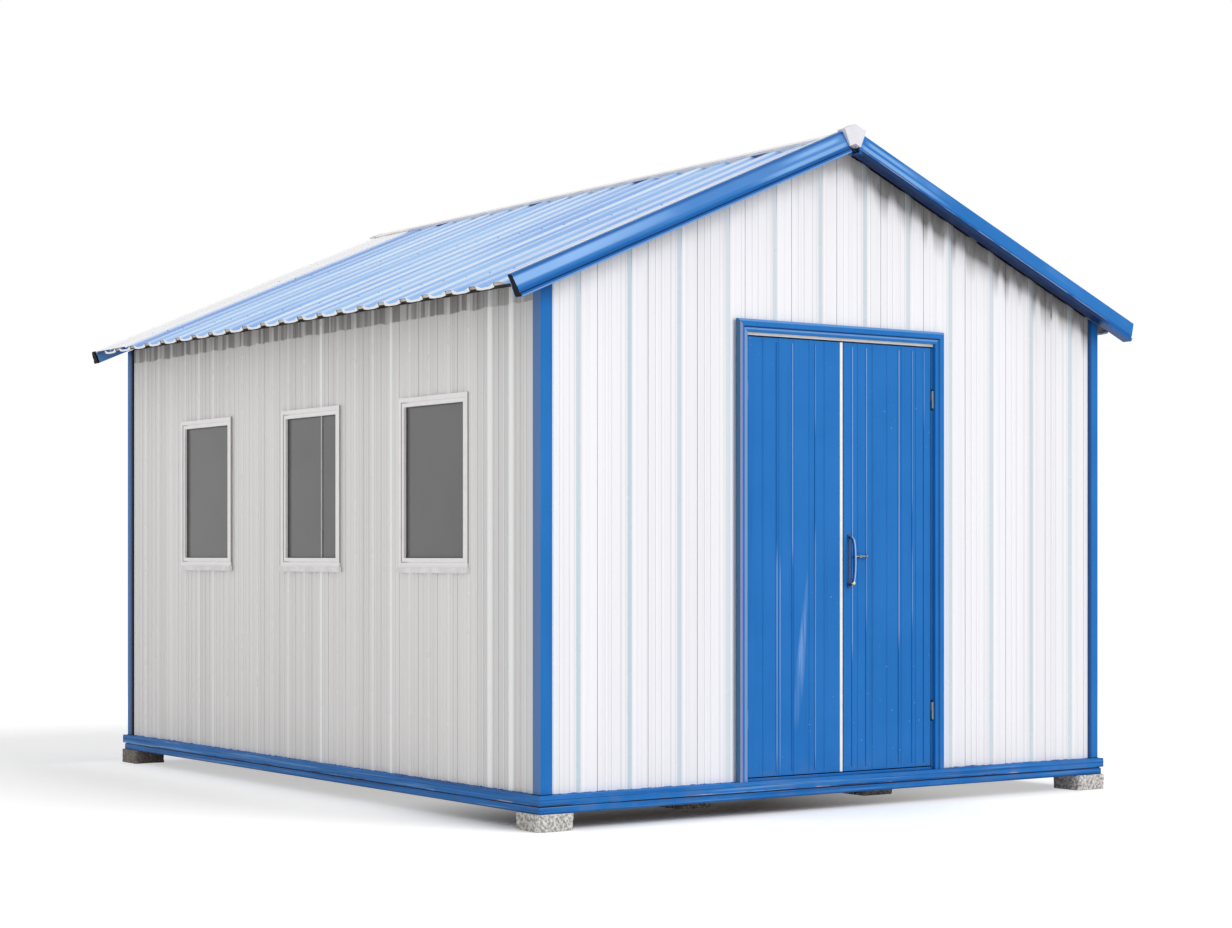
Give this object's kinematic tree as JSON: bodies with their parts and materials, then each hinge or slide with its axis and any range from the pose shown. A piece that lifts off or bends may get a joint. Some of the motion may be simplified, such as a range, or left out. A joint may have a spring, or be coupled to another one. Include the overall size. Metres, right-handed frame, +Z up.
{
  "type": "garden shed",
  "caption": "Metal garden shed with ribbed white panel walls, a blue sheet gable roof, blue double doors and windows along one side, on concrete pads.",
  "frame": {"origin": "on the ground under the middle of the plan", "axes": "doors face -Y, the ridge runs along Y, +X is on the right as one faces the doors, +Z up"},
  "size_m": [3.7414, 4.47, 3.1683],
  "materials": {
    "blue_paint": "satin, dusty, with a little grime at the lower edges",
    "door_blue": "satin",
    "roof_blue": "glossy, weathered",
    "panel_white": "satin",
    "trim_white": "satin",
    "seal_white": "matt",
    "glass": "clear, grey",
    "concrete": "rough cast concrete",
    "bare_steel": "dull zinc",
    "black_plastic": "matt",
    "floor_board": "sealed board"
  },
  "bodies": {
    "shed": {"corner_pads": "concrete", "inner_pads": "concrete", "front_base_rail": "blue_paint", "rear_base_rail": "blue_paint", "left_base_rail": "blue_paint", "right_base_rail": "blue_paint", "floor_joists": "blue_paint", "floor_deck": "floor_board", "front_left_post": "blue_paint", "front_right_post": "blue_paint", "rear_left_post": "blue_paint", "rear_right_post": "blue_paint", "front_wall_left": "panel_white", "front_wall_right": "panel_white", "front_gable_panel": "panel_white", "left_wall": "panel_white", "right_wall": "panel_white", "rear_wall": "panel_white", "window_frame_1": "trim_white", "window_frame_2": "trim_white", "window_frame_3": "trim_white", "window_glass": "glass", "door_head": "blue_paint", "left_door_jamb": "blue_paint", "right_door_jamb": "blue_paint", "door_head_seal": "seal_white", "frame_hinges": "bare_steel", "left_purlins": "blue_paint", "right_purlins": "blue_paint", "left_roof_sheet": "roof_blue", "right_roof_sheet": "roof_blue", "front_left_verge": "blue_paint", "front_right_verge": "blue_paint", "rear_left_verge": "trim_white", "rear_right_verge": "trim_white", "verge_end_caps": "black_plastic", "ridge_cap": "trim_white", "front_ridge_end": "trim_white", "rear_ridge_end": "trim_white"},
    "left_door": {"left_door_leaf": "door_blue", "door_meeting_strip": "seal_white", "left_leaf_hinges": "bare_steel"},
    "right_door": {"right_door_leaf": "door_blue", "right_leaf_hinges": "bare_steel", "pull_handle": "blue_paint", "latch_bolt": "bare_steel"}
  },
  "joints": [
    {"name": "left_door_hinge", "type": "hinge", "parent": "shed", "child": "left_door", "pos_m": [-0.562, -2.142, 1.17], "axis": [0, 0, -1], "range_deg": [0, 105]},
    {"name": "right_door_hinge", "type": "hinge", "parent": "shed", "child": "right_door", "pos_m": [0.562, -2.142, 1.17], "axis": [0, 0, 1], "range_deg": [0, 105]}
  ]
}
